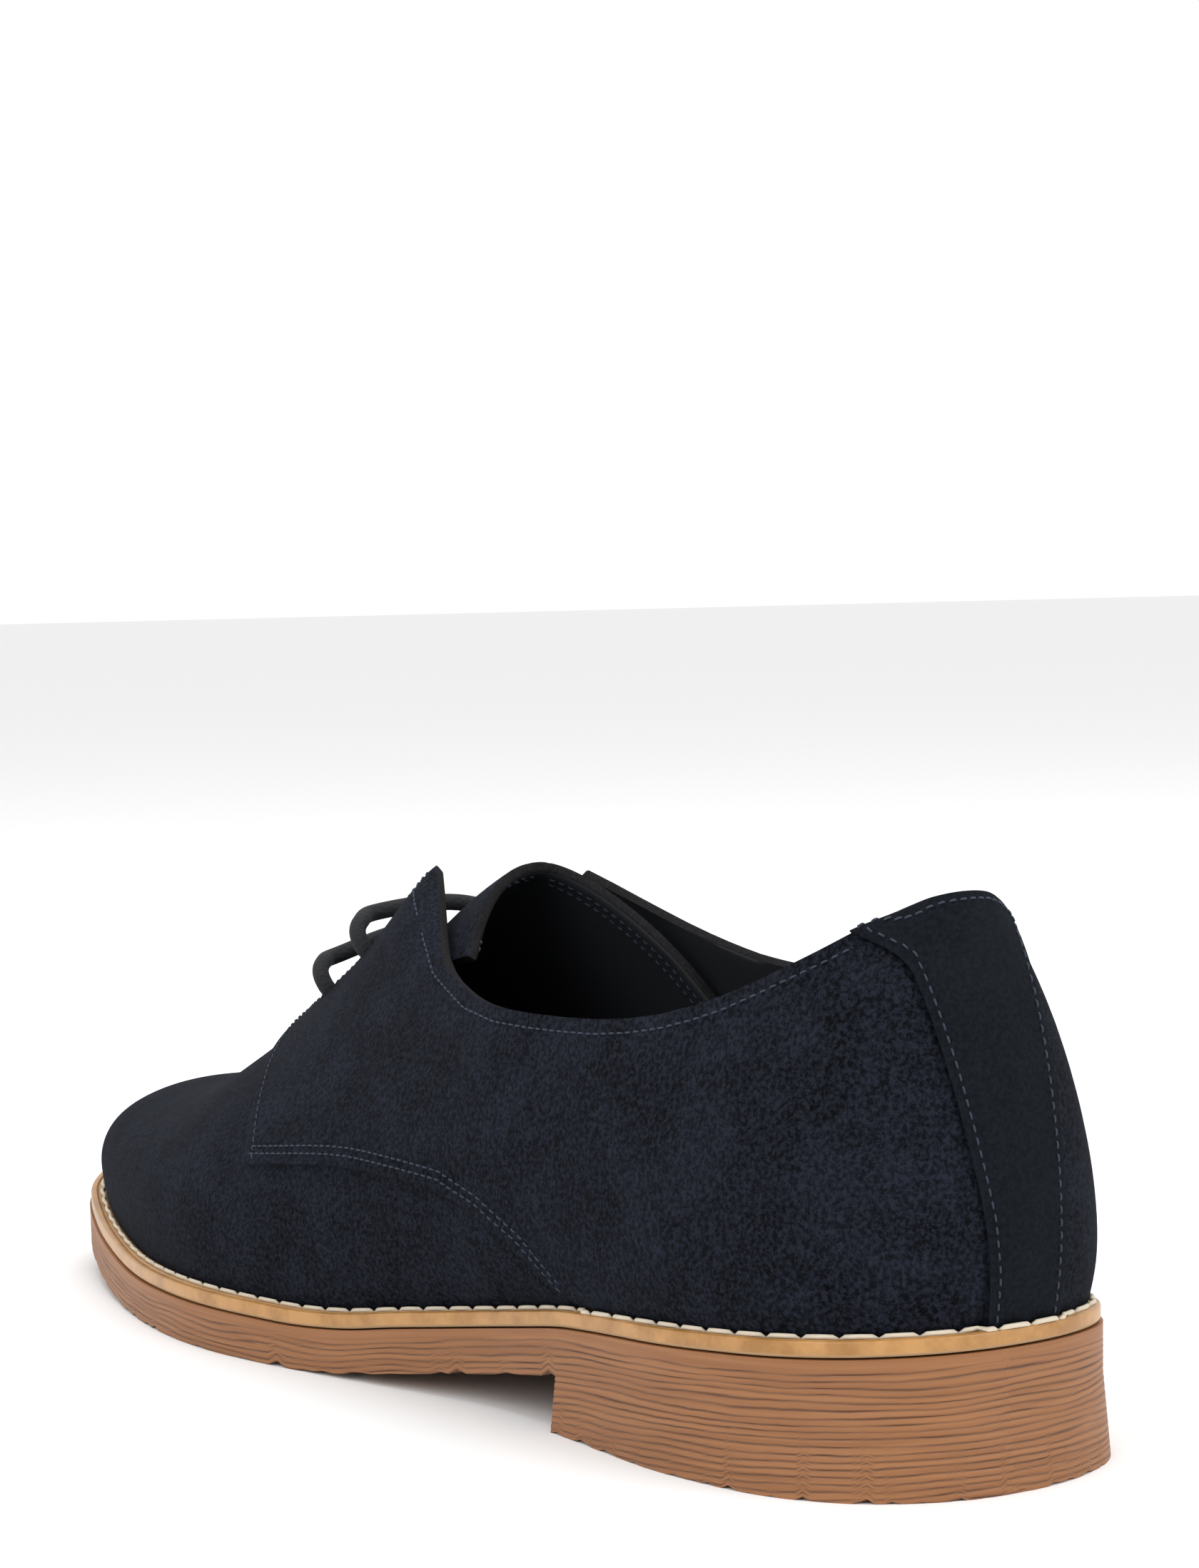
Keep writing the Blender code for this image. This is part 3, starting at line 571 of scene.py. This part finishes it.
def piece_from(shape, name, material):
    """A finished piece from mesh code, with its faces pointing outwards."""
    bmesh.ops.recalc_face_normals(shape, faces=shape.faces)
    mesh = bpy.data.meshes.new(name)
    shape.to_mesh(mesh)
    shape.free()
    mesh.materials.append(material)
    mesh.polygons.foreach_set("use_smooth", [True] * len(mesh.polygons))
    piece = bpy.data.objects.new(name, mesh)
    bpy.context.collection.objects.link(piece)
    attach(piece, "root")
    return piece


stitch_thread, _, _, _ = new_material("stitch_thread", STITCH_COLOUR, 0.7)
upper_surface = surface_of(upper)
rows = bmesh.new()
for path in seam_paths:
    for inset in SEAM_ROWS:
        stitch_row(rows, upper_surface, path, inset)
for path in edge_paths:
    stitch_row(rows, upper_surface, path, EDGE_ROW)
for path in strip_paths:
    stitch_row(rows, upper_surface, path, STRIP_ROW)
seams = piece_from(rows, "seam_stitches", stitch_thread)


# Tongue
# A wide arched sheet of the same suede, lined dark, with two rows of stitches by its edge.
# It lies under the facings and keeps the model's shape.
TONGUE_ROWS = (2.6 * MM, 4.4 * MM)
tongue = cad_copy("tongue", "tongue_suede")
shape, groups, number = regions_of(tongue, CREASE_ANGLE)
faces_of = sorted(range(len(groups)), key=lambda i: -sum(f.calc_area() for f in groups[i]))
tongue_top = max(faces_of[:2], key=lambda i: sum(f.normal.z * f.calc_area() for f in groups[i]))
tongue_under = [i for i in faces_of[:2] if i != tongue_top][0]
for material in (suede, lining, cut_edge):
    tongue.data.materials.append(material)
crease = shape.edges.layers.float.new("crease_edge")
for edge in shape.edges:
    if edge.calc_face_angle(0) > CREASE_ANGLE:
        edge[crease] = CREASE_HOLD
for face in shape.faces:
    group = number[face.index]
    if group == tongue_top:
        face.material_index = 0
    elif group == tongue_under:
        face.material_index = 1
    else:
        face.material_index = 2
tongue_paths = border_paths(groups, number, tongue_under, lambda face: True)
shape.to_mesh(tongue.data)
shape.free()
paired(tongue)
smoothed(tongue, SOFT_ANGLE)
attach(tongue, "root")
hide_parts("tongue")
rows = bmesh.new()
tongue_surface = surface_of(tongue)
for path in tongue_paths:
    for inset in TONGUE_ROWS:
        stitch_row(rows, tongue_surface, path, inset)
tongue_seam = piece_from(rows, "tongue_stitches", stitch_thread)


# Laces
# Round waxed cord, dark like the suede. Each run rises out of one eyelet and crosses to
# the other facing over the tongue.
lace_cord, nodes, links, shader = new_material("lace_cord", (0.0040, 0.0048, 0.0075, 1), 0.85)
place = nodes.new("ShaderNodeTexCoord")
plait = nodes.new("ShaderNodeTexVoronoi")
plait.inputs["Scale"].default_value = 1400
links.new(place.outputs["Object"], plait.inputs["Vector"])
bump = nodes.new("ShaderNodeBump")
bump.inputs["Strength"].default_value = 0.6
bump.inputs["Distance"].default_value = 0.25 * MM
links.new(plait.outputs["Distance"], bump.inputs["Height"])
links.new(bump.outputs["Normal"], shader.inputs["Normal"])
for node in ("lace_bar_upper", "lace_bar_lower"):
    lace = cad_copy(node, node + "_cord")
    lace.data.materials.append(lace_cord)
    paired(lace, SOFT_ANGLE, SOFT_ANGLE, False)
    smoothed(lace, math.radians(60))
    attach(lace, "root")
    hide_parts(node)


# Insole
# Smooth dark sock over a board, a little uneven in tone. It lies on the sole inside the
# upper, and is the model's own node.
insole_skin, nodes, links, shader = new_material("insole_skin", (0.010, 0.011, 0.014, 1), 0.6)
place = nodes.new("ShaderNodeTexCoord")
wear = nodes.new("ShaderNodeTexNoise")
wear.inputs["Scale"].default_value = 60
wear.inputs["Detail"].default_value = 5
links.new(place.outputs["Object"], wear.inputs["Vector"])
tone = nodes.new("ShaderNodeValToRGB")
tone.color_ramp.elements[0].color = (0.008, 0.009, 0.011, 1)
tone.color_ramp.elements[1].color = (0.013, 0.014, 0.017, 1)
links.new(wear.outputs["Fac"], tone.inputs["Fac"])
links.new(tone.outputs["Color"], shader.inputs["Base Color"])
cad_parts["insole"].data.materials.clear()
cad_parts["insole"].data.materials.append(insole_skin)


# Welt
# A tan leather strip all round, its edge inked and a little glossy, with a groove for the
# thread. A fine paler line along its lower edge is a painted highlight on the small ridge there.
STEPS_BETWEEN = 5
# how far in from the edge and how far above the top face, in millimetres
WELT_PROFILE = (
    (0.35, -2.70),
    (0.00, -2.25),
    (0.00, -0.50),
    (0.12, -0.18),
    (0.40, 0.00),
    (1.15, 0.00),
    (1.45, -0.40),
    (1.75, 0.00),
    (8.50, 0.00),
    (8.50, -2.70),
)
welt_source = cad_copy("welt", "welt_source")
shape, groups, number = regions_of(welt_source, CREASE_ANGLE)
welt_top = max(range(len(groups)), key=lambda i: sum(f.normal.z * f.calc_area() for f in groups[i]))
welt_loops = border_paths(groups, number, welt_top, lambda face: True)
shape.free()
bpy.data.objects.remove(welt_source)


def heel_first(path):
    """A closed loop of points that starts at the back of the heel and runs to the outer side."""
    loop = [point for point, _ in path[:-1]]
    first = min(range(len(loop)), key=lambda i: loop[i].y)
    loop = loop[first:] + loop[:first]
    if loop[1].x > loop[-1].x:
        loop = [loop[0]] + loop[:0:-1]
    return loop


def finer(loop, steps):
    """A smooth closed curve through the points of a loop."""
    result, count = [], len(loop)
    for i in range(count):
        a, b, c, d = (loop[(i + k) % count] for k in (-1, 0, 1, 2))
        for j in range(steps):
            t = j / steps
            result.append(
                0.5
                * (
                    2 * b
                    + (c - a) * t
                    + (2 * a - 5 * b + 4 * c - d) * t**2
                    + (3 * b - a - 3 * c + d) * t**3
                )
            )
    return result


def outward(loop, i):
    """Level direction out of a loop that runs clockwise seen from above."""
    step = loop[(i + 1) % len(loop)] - loop[i - 1]
    return Vector((-step.y, step.x, 0)).normalized()


edge_loop = finer(heel_first(welt_loops[0]), STEPS_BETWEEN)
if (outward(edge_loop, 10).dot(edge_loop[10] - Vector((0, edge_loop[10].y, 0)))) < 0:
    out_sign = -1
else:
    out_sign = 1
ring = bmesh.new()
columns = []
for i, point in enumerate(edge_loop):
    away = outward(edge_loop, i) * out_sign
    column = []
    for inset, rise in WELT_PROFILE:
        column.append(ring.verts.new(point - away * inset * MM + Vector((0, 0, rise * MM))))
    columns.append(column)
for i, one in enumerate(columns):
    two = columns[(i + 1) % len(columns)]
    for k in range(len(WELT_PROFILE)):
        after = (k + 1) % len(WELT_PROFILE)
        face = ring.faces.new((one[k], one[after], two[after], two[k]))
        # The lowest bevel face takes the second material, a paler tan that is a painted highlight.
        face.material_index = 1 if k == 0 else 0
welt_leather, nodes, links, shader = new_material("welt_leather", (0.33, 0.165, 0.060, 1), 0.42)
place = nodes.new("ShaderNodeTexCoord")
varnish = nodes.new("ShaderNodeTexNoise")
varnish.inputs["Scale"].default_value = 120
varnish.inputs["Detail"].default_value = 5
varnish.inputs["Roughness"].default_value = 0.65
links.new(place.outputs["Object"], varnish.inputs["Vector"])
tone = nodes.new("ShaderNodeValToRGB")
tone.color_ramp.elements[0].position = 0.36
tone.color_ramp.elements[0].color = (0.310, 0.146, 0.036, 1)
tone.color_ramp.elements[1].position = 0.60
tone.color_ramp.elements[1].color = (0.455, 0.235, 0.076, 1)
links.new(varnish.outputs["Fac"], tone.inputs["Fac"])
links.new(tone.outputs["Color"], shader.inputs["Base Color"])
gloss = nodes.new("ShaderNodeMapRange")
gloss.inputs["To Min"].default_value = 0.22
gloss.inputs["To Max"].default_value = 0.42
links.new(varnish.outputs["Fac"], gloss.inputs["Value"])
links.new(gloss.outputs["Result"], shader.inputs["Roughness"])
welt = piece_from(ring, "welt_leather", welt_leather)
# Painted highlight: a paler tan for the thin light line along the welt's lower edge.
painted_highlight_edge, _, _, _ = new_material("painted_highlight_edge", (0.52, 0.36, 0.20, 1), 0.5)
welt.data.materials.append(painted_highlight_edge)
bpy.context.view_layer.objects.active = welt
deselect()
welt.select_set(True)
bpy.ops.object.shade_smooth_by_angle(angle=math.radians(35))
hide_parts("welt")


# Welt thread
# Thick off-white thread in long stitches that bow outwards against the foot of the upper.
THREAD_COLOUR = (0.58, 0.51, 0.40, 1)
THREAD_PITCH = 6.6 * MM
THREAD_RADIUS = 0.42 * MM
THREAD_BOW = 0.55 * MM
THREAD_SAMPLES = 6
LOOK_ABOVE = 0.9 * MM
LOOK_FAR = 9 * MM
USUAL_INSET = 2.5 * MM
closed = [(point, -outward(edge_loop, i) * out_sign) for i, point in enumerate(edge_loop)]
closed.append(closed[0])
rows = bmesh.new()
count = round(path_length(closed) / THREAD_PITCH)
pitch = path_length(closed) / count


def foot_of_upper(point, inward):
    """Where the upper meets the welt, reached from the welt's edge."""
    start = point + Vector((0, 0, LOOK_ABOVE)) - inward * MM
    spot, _, _, _ = upper_surface.ray_cast(start, inward, LOOK_FAR)
    return (spot - start).dot(inward) - MM if spot else USUAL_INSET


spots = along(closed, pitch / THREAD_SAMPLES)
insets = [foot_of_upper(point, inward) for point, _, inward in spots]
insets = [
    min(insets[(i + k) % len(insets)] for k in (-1, 0, 1)) for i in range(len(insets))
]
for first in range(0, len(spots) - 1, THREAD_SAMPLES):
    line = []
    for k in range(THREAD_SAMPLES + 1):
        index = (first + k) % len(spots)
        point, _, inward = spots[index]
        share = k / THREAD_SAMPLES
        bow = math.sin(math.pi * share)
        inset = insets[index] - THREAD_RADIUS * 0.55 - THREAD_BOW * bow
        if 0 < share < 1:
            height = THREAD_RADIUS * (0.1 + 0.75 * bow**0.5)
        else:
            height = -THREAD_RADIUS * 0.5
        line.append(point + inward * inset + Vector((0, 0, height)))
    add_thread(rows, line, THREAD_RADIUS, 7)
thread_yarn, _, _, _ = new_material("welt_thread", THREAD_COLOUR, 0.75)
welt_thread = piece_from(rows, "welt_thread", thread_yarn)


# Outsole
# One moulded unit of brown rubber. Fine ribs like wood grain run round its side, a little
# uneven, and fade out under the welt. The heel block has the same ribs. Their grooves are darkened
# with painted shade.
RIB_PITCH = 1.13 * MM
RIB_DEPTH = 0.20 * MM
RIB_WANDER = 0.75 * MM
SMOOTH_TOP = 1.3 * MM
TREAD_NICK = 1.5 * MM
ROW_STEP = 0.16 * MM
HEEL_FLARE = 1.2 * MM
HEEL_BREAST_HIGHEST = 9 * MM
SHARP_SIDE = math.radians(20)
outsole_source = cad_copy("outsole", "outsole_source")
shape, groups, number = regions_of(outsole_source, SHARP_SIDE)
flat_tops = [
    i
    for i in range(len(groups))
    if sum(f.normal.z * f.calc_area() for f in groups[i]) > 1e-3
]
rim_group = min(flat_tops, key=lambda i: max(v.co.z for f in groups[i] for v in f.verts))
sole_loops = border_paths(groups, number, rim_group, lambda face: True)
breast_y = max(
    (f for f in shape.faces if f.normal.y > 0.95 and f.calc_center_median().z < HEEL_BREAST_HIGHEST),
    key=lambda f: f.calc_area(),
).calc_center_median().y
shape.free()
sole_surface = surface_of(outsole_source)
bpy.data.objects.remove(outsole_source)
coarse = heel_first(sole_loops[0])
sole_loop = finer(coarse, STEPS_BETWEEN)
total = len(sole_loop)
half = total // 2
breast = min(range(half), key=lambda i: abs(sole_loop[i].y - breast_y))


def underside(y):
    """Height of the plate's underside in front of the heel, or None past its toe end."""
    spot, _, _, _ = sole_surface.ray_cast(Vector((0, y, -0.05)), Vector((0, 0, 1)))
    return spot.z if spot else None


plate_thickness = sole_loop[breast].z - underside(breast_y + 0.5 * MM)
side_rows = max(int(plate_thickness / ROW_STEP), 4)
heel_rows = max(int((sole_loop[0].z - plate_thickness) / ROW_STEP), 4)
body = bmesh.new()
depth_layer = body.verts.layers.float.new("groove")
place_layer = body.verts.layers.float_vector.new("side_place")
travel = [0.0]
for i in range(1, total):
    travel.append(travel[-1] + (sole_loop[i] - sole_loop[i - 1]).length)


def nick(i):
    """Small rise of the uneven lower edge."""
    point = sole_loop[i % total]
    return TREAD_NICK * max(0.0, noise.noise(Vector((point.x * 420, point.y * 420, 7))))


def rib_vertex(i, height, flare):
    """A point of the ribbed side at a height, with its groove cut in."""
    point = sole_loop[i % total]
    away = outward(sole_loop, i % total) * out_sign
    depth = point.z - height
    wander = noise.noise(Vector((point.x * 60, point.y * 60, depth * 260))) * RIB_WANDER
    fine = noise.noise(Vector((point.x * 300, point.y * 300, depth * 900))) * 0.12 * MM
    phase = (depth + wander + fine) / RIB_PITCH
    groove = (0.5 + 0.5 * math.cos(2 * math.pi * phase)) ** 6
    groove *= 0.55 + 0.45 * (0.5 + noise.noise(Vector((point.x * 110, point.y * 110, depth * 700))))
    groove *= min(max((depth - SMOOTH_TOP) / MM, 0.0), 1.0)
    vertex = body.verts.new(
        Vector((point.x, point.y, height)) + away * (flare - RIB_DEPTH * groove)
    )
    vertex[depth_layer] = groove
    vertex[place_layer] = (travel[i % total], depth, 0)
    return vertex


# The side of the plate, then the heel block's side and breast, and last the flat faces.
plate = []
for i in range(total):
    point = sole_loop[i]
    in_heel = i <= breast or i >= total - breast
    under = underside(point.y)
    if in_heel or under is None:
        low = point.z - plate_thickness
    else:
        low = under + nick(i)
    plate.append(
        [rib_vertex(i, point.z + (low - point.z) * k / side_rows, 0.0) for k in range(side_rows + 1)]
    )
for i in range(total):
    one, two = plate[i], plate[(i + 1) % total]
    for k in range(side_rows):
        body.faces.new((one[k], two[k], two[k + 1], one[k + 1]))
heel_index = list(range(total - breast, total)) + list(range(0, breast + 1))
heel = []
for i in heel_index:
    low = sole_loop[i].z - plate_thickness
    column = [plate[i][-1]]
    for k in range(1, heel_rows + 1):
        share = k / heel_rows
        column.append(rib_vertex(i, low + (nick(i) - low) * share, HEEL_FLARE * share))
    heel.append(column)
for one, two in zip(heel, heel[1:]):
    for k in range(heel_rows):
        body.faces.new((one[k], two[k], two[k + 1], one[k + 1]))
for k in range(heel_rows):
    body.faces.new((heel[-1][k], heel[0][k], heel[0][k + 1], heel[-1][k + 1]))
for i in range(1, half):
    j = total - i
    tops = [plate[i][0], plate[i + 1][0], plate[(j - 1) % total][0], plate[j % total][0]]
    body.faces.new(list(dict.fromkeys(tops)))
    if i >= breast:
        lows = [plate[i][-1], plate[i + 1][-1], plate[(j - 1) % total][-1], plate[j % total][-1]]
        body.faces.new(list(dict.fromkeys(lows)))
body.faces.new((plate[0][0], plate[1][0], plate[-1][0]))
middle = len(heel) // 2
for k in range(middle):
    left, right_side = middle - k, middle + k
    corners = [heel[left][-1], heel[left - 1][-1], heel[right_side + 1][-1], heel[right_side][-1]]
    body.faces.new(list(dict.fromkeys(corners)))
rubber, nodes, links, shader = new_material("sole_rubber", (0.32, 0.145, 0.075, 1), 0.55)
groove_in = nodes.new("ShaderNodeAttribute")
groove_in.attribute_name = "groove"
place_in = nodes.new("ShaderNodeAttribute")
place_in.attribute_name = "side_place"
stretch = nodes.new("ShaderNodeVectorMath")
stretch.operation = "MULTIPLY"
stretch.inputs[1].default_value = (22, 950, 1)
links.new(place_in.outputs["Vector"], stretch.inputs[0])
streak = nodes.new("ShaderNodeTexNoise")
streak.inputs["Scale"].default_value = 1
streak.inputs["Detail"].default_value = 4
links.new(stretch.outputs["Vector"], streak.inputs["Vector"])
ramp = nodes.new("ShaderNodeValToRGB")
ramp.color_ramp.elements[0].color = (0.232, 0.090, 0.027, 1)
ramp.color_ramp.elements[1].color = (0.292, 0.122, 0.042, 1)
ramp.color_ramp.elements[0].position = 0.38
ramp.color_ramp.elements[1].position = 0.62
links.new(streak.outputs["Fac"], ramp.inputs["Fac"])
# Painted shade: the grooves' colour is darkened towards near-black brown, on top of their cut depth.
painted_groove_shade = nodes.new("ShaderNodeMix")
painted_groove_shade.data_type = "RGBA"
painted_groove_shade.inputs["B"].default_value = (0.060, 0.022, 0.008, 1)
links.new(ramp.outputs["Color"], painted_groove_shade.inputs["A"])
links.new(groove_in.outputs["Fac"], painted_groove_shade.inputs["Factor"])
links.new(painted_groove_shade.outputs["Result"], shader.inputs["Base Color"])
outsole = piece_from(body, "outsole_rubber", rubber)
deselect()
outsole.select_set(True)
bpy.context.view_layer.objects.active = outsole
bpy.ops.object.shade_smooth_by_angle(angle=math.radians(50))
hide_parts("outsole")
